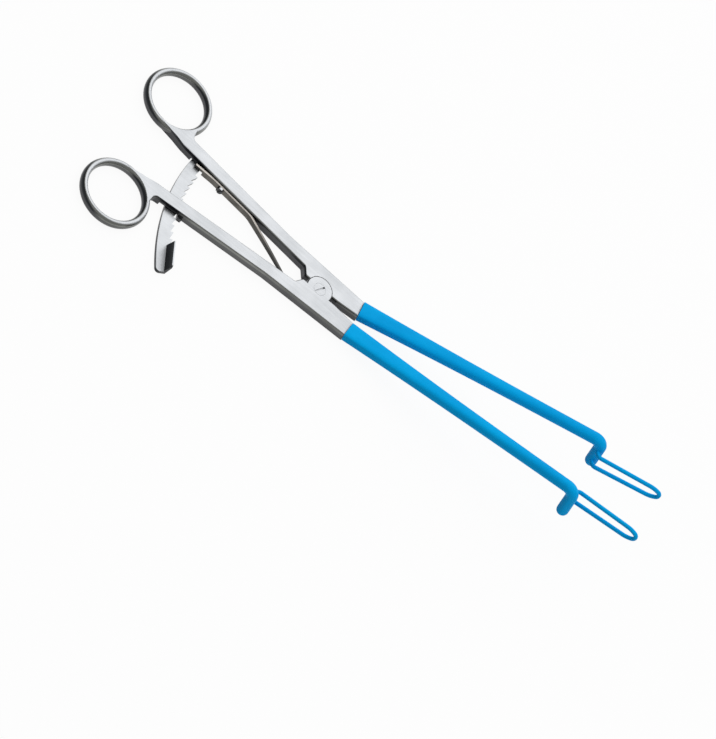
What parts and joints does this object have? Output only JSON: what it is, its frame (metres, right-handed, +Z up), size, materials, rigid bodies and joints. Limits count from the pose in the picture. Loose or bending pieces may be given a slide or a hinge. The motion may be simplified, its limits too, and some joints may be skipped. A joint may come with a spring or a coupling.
{
  "type": "endocervical speculum",
  "caption": "Ring-handled speculum with lap-jointed arms, a leaf spring and a ratchet rack, whose blue-coated jaws end in forward-running wire-loop blades.",
  "frame": {"origin": "on the pivot screw's axis, in the flat underside that the instrument lies on", "axes": "+X from the pivot to the blade tips, +Y to the arm that carries the rack and the spring, +Z up along the pivot screw"},
  "size_m": [0.242, 0.0818, 0.027],
  "materials": {
    "steel": "satin",
    "spring_steel": "tempered, bronze grey",
    "blade_wire": "plain, under the coating",
    "insulation": "dipped, semi-gloss"
  },
  "bodies": {
    "lower_half": {"lower_arm": "steel", "lower_blade_wire": "blade_wire", "lower_jaw_coating": "insulation"},
    "upper_half": {"upper_arm": "steel", "pivot_screw": "steel", "rack_pin": "steel", "leaf_spring": "spring_steel", "spring_screw": "steel", "upper_blade_wire": "blade_wire", "upper_jaw_coating": "insulation"},
    "rack": {"ratchet_rack": "steel"}
  },
  "joints": [
    {"name": "arm_pivot", "type": "hinge", "parent": "lower_half", "child": "upper_half", "pos_m": [0, 0, 0], "axis": [0, 0, 1], "range_deg": [-8.2, 14], "stiffness_Nm_per_rad": 0.24, "deforming": ["leaf_spring"]},
    {"name": "rack_swivel", "type": "hinge", "parent": "upper_half", "child": "rack", "pos_m": [-0.06234, 0.01155, 0], "axis": [0, 0, 1], "range_deg": [-3, 0]}
  ]
}
